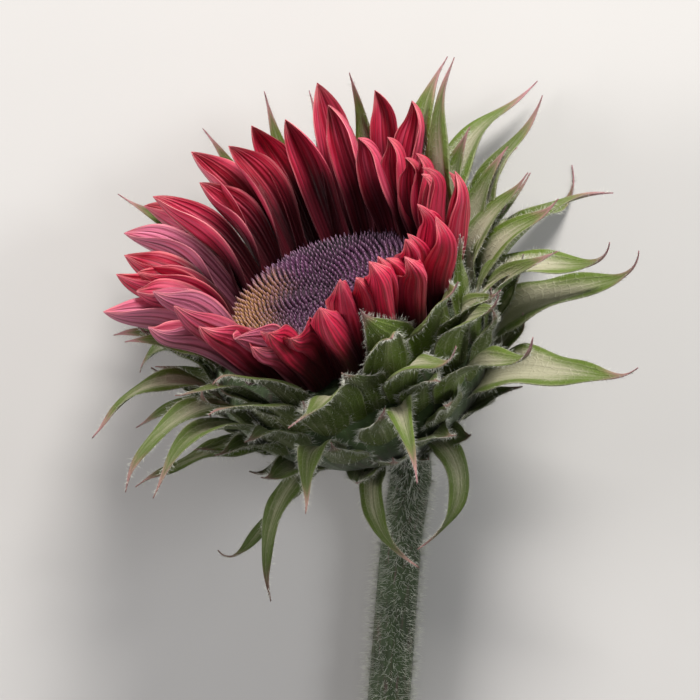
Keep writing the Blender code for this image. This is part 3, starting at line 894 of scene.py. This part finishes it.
class SUNFLOWER_OT_receptacle(bpy.types.Operator):
    """Green bowl that carries petals, bracts and florets"""

    bl_idname = "sunflower.receptacle"
    bl_label = "Receptacle"

    def execute(self, context):
        rows, sides = 60, 120
        wall = through(BOWL_PROFILE, np.linspace(0.0, 1.0, rows - 12))
        rim = through(((31.0, 0.0), (30.0, 1.2), (27.5, 1.4), (10.0, 1.4)),
                      np.linspace(0.05, 1, 12))
        profile = np.vstack((wall, rim))
        turn = np.linspace(0.0, 2.0 * math.pi, sides, endpoint=False)
        lumps = 0.25 * np.cos(21 * turn)[None, :] * np.sin(np.linspace(0, math.pi, rows))[:, None]
        radius = profile[:, :1] - 0.3 + lumps
        height = np.tile(profile[:, 1:], (1, sides))
        skin = np.stack((radius * np.cos(turn) + neck_shift(height), radius * np.sin(turn),
                         height), -1)
        ends = np.array(((NECK_SHIFT, 0.0, profile[0, 1]), (0.0, 0.0, profile[-1, 1])))
        points = to_table(np.vstack((skin.reshape(-1, 3), ends)))
        u = np.tile(turn / (2 * math.pi) * 3, (rows, 1))
        v = np.tile(np.linspace(0, 1, rows)[:, None], (1, sides))
        maps = np.vstack((np.stack((u, v), -1).reshape(-1, 2), ((0.5, 0.0), (0.5, 1.0))))
        new_piece("receptacle_skin", points,
                  lathe_faces(rows, sides, rows * sides, rows * sides + 1),
                  stem_finish("receptacle_skin", 1.6), {"Round": maps}, ("receptacle",))
        return {"FINISHED"}


def bud_mesh(centres, heading, heights, widths, tans, chance, sides=6):
    """Closed pointed buds in one mesh, and a map of their height and tan share."""
    n = len(centres)
    across = unit(np.cross(heading, unit(chance.normal(size=(n, 3)))))
    other = np.cross(heading, across)
    shape = ((0.0, 0.55), (0.35, 1.0), (0.68, 0.86), (0.9, 0.4))
    rings, marks = [], []
    for share, wide in shape:
        middle = centres + heading * (heights * share)[:, None]
        for k in range(sides):
            a = 2.0 * math.pi * k / sides
            arm = across * math.cos(a) + other * math.sin(a)
            rings.append(middle + arm * (widths * wide)[:, None])
            marks.append(np.stack((np.full(n, share), tans), -1))
    rings.append(centres + heading * (heights * 1.12)[:, None])
    marks.append(np.stack((np.full(n, 1.1), tans), -1))
    rings.append(centres - heading * 0.05)
    marks.append(np.stack((np.zeros(n), tans), -1))
    size = len(rings)
    points = np.stack(rings, 1).reshape(-1, 3)
    maps = np.stack(marks, 1).reshape(-1, 2)
    pattern = lathe_faces(len(shape), sides, size - 1, size - 2)
    faces = [tuple(size * i + j for j in face) for i in range(n) for face in pattern]
    return points, faces, maps


class SUNFLOWER_OT_florets(bpy.types.Operator):
    """Disc florets and their scales, packed in a golden spiral"""

    bl_idname = "sunflower.florets"
    bl_label = "Disc florets"

    def execute(self, context):
        look = looks()
        chance = np.random.default_rng(SEED + 1)
        material = floret_finish()
        rows, sides = 40, 96
        profile = through(DISC_PROFILE[:-1] + ((1.5, 5.2),), np.linspace(0.0, 1.0, rows))
        profile = np.vstack(((26.4, 1.7), profile))
        turn = np.linspace(0.0, 2.0 * math.pi, sides, endpoint=False)
        skin = np.stack((profile[:, :1] * np.cos(turn), profile[:, :1] * np.sin(turn),
                         np.tile(profile[:, 1:], (1, sides))), -1)
        ends = np.array(((0.0, 0.0, 1.7), (0.0, 0.0, 5.2)))
        points = to_table(np.vstack((skin.reshape(-1, 3), ends)))
        maps = np.zeros((len(points), 2))
        new_piece("floret_bed", points,
                  lathe_faces(rows + 1, sides, (rows + 1) * sides, (rows + 1) * sides + 1),
                  material, {"Bud": maps}, ("floret_disc",))
        count = look.florets
        i = np.arange(count) + 0.5
        reach = 26.9 * np.sqrt(i / count)
        angle = np.radians(137.50776) * i
        fine = through(DISC_PROFILE, np.linspace(0, 1, 400))
        order = np.argsort(fine[:, 0])
        height = np.interp(reach, fine[order, 0], fine[order, 1]) - 0.3
        direction = np.stack((np.cos(angle), np.sin(angle), np.zeros(count)), -1)
        base = direction * reach[:, None] + np.stack((np.zeros(count),) * 2 + (height,), -1)
        tilt = np.radians(-12.0 + 30.0 * (reach / 27.0) ** 3)
        heading = direction * np.sin(tilt)[:, None]
        heading = heading + np.stack((np.zeros(count),) * 2 + (np.cos(tilt),), -1)
        heading = unit(heading + 0.045 * chance.normal(size=(count, 3)))
        ripe = smooth_step((reach - 9.0) / 17.0)
        tan = ripe * smooth_step((0.20 - direction[:, 0]) / 0.9)
        # painted shade: the far side of the disc is made dark by pushing the tan share below zero
        far_side_painted_shade = smooth_step((base[:, 1] - 9.0) / 20.0)
        tan = np.clip(tan * 1.15 + 0.12 * chance.normal(size=count) * ripe, 0.0, 1.0) - far_side_painted_shade * 1.1
        heights = 1.9 + 0.6 * ripe + 0.14 * chance.normal(size=count)
        points, faces, maps = bud_mesh(to_table(base), heading @ head_turns().T, heights,
                                       0.40 + 0.10 * ripe, tan, chance)
        new_piece("floret_buds", points, faces, material, {"Bud": maps}, ())
        scale_base = base + direction * 0.58
        scale_heading = unit(heading - 0.12 * direction + 0.06 * chance.normal(size=(count, 3)))
        points, faces, maps = bud_mesh(to_table(scale_base), scale_heading @ head_turns().T,
                                       heights * chance.uniform(0.95, 1.20, count),
                                       np.full(count, FLORET_SCALE_RADIUS),
                                       np.clip(tan + 0.1, -1, 1), chance, 4)
        new_piece("floret_scales", points, faces, material, {"Bud": maps}, ())
        return {"FINISHED"}


class SUNFLOWER_OT_petals(bpy.types.Operator):
    """Two rows of rolled ray petals"""

    bl_idname = "sunflower.petals"
    bl_label = "Ray petals"

    def execute(self, context):
        chance = np.random.default_rng(SEED + 2)
        material = petal_finish()
        for number, row in enumerate(PETALS, 1):
            grow_petal(f"ray_petal_{number:02d}", *row, material, chance,
                       (f"petal_{number:02d}",))
        for number, row in enumerate(TUCKED_PETALS, 1):
            grow_petal(f"tucked_petal_{number:02d}", *row, material, chance)
        return {"FINISHED"}


class SUNFLOWER_OT_bracts(bpy.types.Operator):
    """Large and small bracts with their fringe of hairs"""

    bl_idname = "sunflower.bracts"
    bl_label = "Bracts"

    def execute(self, context):
        look = looks()
        chance = np.random.default_rng(SEED + 3)
        material = bract_finish()
        hair_material = hair_finish("bract_hair", look.hair_white)
        for kind, rows, habit in (("green", BRACTS, LARGE_HABIT),
                                  ("small", SMALL_BRACTS, SMALL_HABIT),
                                  ("scale", scale_rows(chance), SCALE_HABIT)):
            skins = []
            for number, row in enumerate(rows, 1):
                stands_for = (f"bract_{number:02d}",) if kind == "green" else ()
                grow_bract(f"{kind}_bract_{number:02d}", row, material, chance, skins, habit,
                           stands_for)
            roots, directions, lengths = margin_hairs(skins, look.bract_hair / MM, chance)
            points, faces = hair_mesh(roots, directions, lengths, np.full(len(roots),
                                      BRACT_HAIR_RADIUS), chance)
            keep_above_table(points)
            new_piece(f"{kind}_bract_hairs", points, faces, hair_material, None, ())
        return {"FINISHED"}


class SUNFLOWER_OT_stage(bpy.types.Operator):
    """Pale floor, soft lights and a camera straight above"""

    bl_idname = "sunflower.stage"
    bl_label = "Stage"

    def execute(self, context):
        scene = context.scene
        mesh = bpy.data.meshes.new("table_top")
        half = 2.0
        mesh.from_pydata([(-half, -half, 0), (half, -half, 0), (half, half, 0), (-half, half, 0)],
                         [], [(0, 1, 2, 3)])
        mesh.materials.append(table_finish())
        floor = bpy.data.objects.new("table_top", mesh)
        scene.collection.objects.link(floor)
        for name, place, size, power, colour in (
                ("key", (0.15, 0.75, 0.60), 0.30, 14.0, (1.0, 0.97, 0.94)),
                ("left", (-0.80, 0.10, 0.50), 0.3, 5.5, (1.0, 0.97, 0.97)),
                ("right", (0.80, 0.20, 0.60), 0.3, 4.5, (0.97, 0.98, 1.0)),
                ("top", (0.1, -0.2, 1.2), 0.5, 1.6, (1.0, 0.98, 0.96))):
            light = bpy.data.lights.new(name, "AREA")
            light.shape = "SQUARE"
            light.size = size
            light.energy = power
            light.color = colour
            lamp = bpy.data.objects.new(name, light)
            scene.collection.objects.link(lamp)
            aim = Vector((0.0, 0.02, 0.03)) - Vector(place)
            lamp.matrix_world = (Matrix.Translation(Vector(place))
                                 @ aim.to_track_quat("-Z", "Y").to_matrix().to_4x4())
        world = bpy.data.worlds.new("soft_room")
        world.use_nodes = True
        world.node_tree.nodes["Background"].inputs["Color"].default_value = (0.9, 0.93, 1.0, 1.0)
        world.node_tree.nodes["Background"].inputs["Strength"].default_value = 0.16
        scene.world = world
        scene.view_settings.view_transform = "Standard"
        camera = bpy.data.cameras.new("camera")
        distance, field = 1.4, 0.175
        camera.sensor_width = 36.0
        camera.lens = camera.sensor_width * distance / field
        camera.clip_start = 0.05
        camera.clip_end = 20.0
        eye = bpy.data.objects.new("camera", camera)
        eye.location = ((HEAD_CENTRE[0] + 2.0) * MM, (HEAD_CENTRE[1] - 6.75) * MM,
                        HEAD_CENTRE[2] * MM + distance)
        scene.collection.objects.link(eye)
        scene.camera = eye
        return {"FINISHED"}


OPERATORS = (SUNFLOWER_OT_stage, SUNFLOWER_OT_stem, SUNFLOWER_OT_receptacle,
             SUNFLOWER_OT_florets, SUNFLOWER_OT_petals, SUNFLOWER_OT_bracts)


class SUNFLOWER_PT_panel(bpy.types.Panel):
    """Sidebar panel that lists the pieces and their settings"""

    bl_idname = "SUNFLOWER_PT_panel"
    bl_label = "Sunflower"
    bl_space_type = "VIEW_3D"
    bl_region_type = "UI"
    bl_category = "Sunflower"

    def draw(self, context):
        for operator in OPERATORS:
            self.layout.operator(operator.bl_idname)
        for name in SunflowerLooks.__annotations__:
            self.layout.prop(context.scene.sunflower_looks, name)


CLASSES = (SunflowerLooks, *OPERATORS, SUNFLOWER_PT_panel)


def register():
    for item in CLASSES:
        bpy.utils.register_class(item)
    bpy.types.Scene.sunflower_looks = bpy.props.PointerProperty(type=SunflowerLooks)


def unregister():
    del bpy.types.Scene.sunflower_looks
    for item in reversed(CLASSES):
        bpy.utils.unregister_class(item)


def main():
    register()
    bpy.ops.sunflower.stage()
    bpy.ops.sunflower.stem()
    bpy.ops.sunflower.receptacle()
    bpy.ops.sunflower.florets()
    bpy.ops.sunflower.petals()
    bpy.ops.sunflower.bracts()


if __name__ == "__main__":
    main()
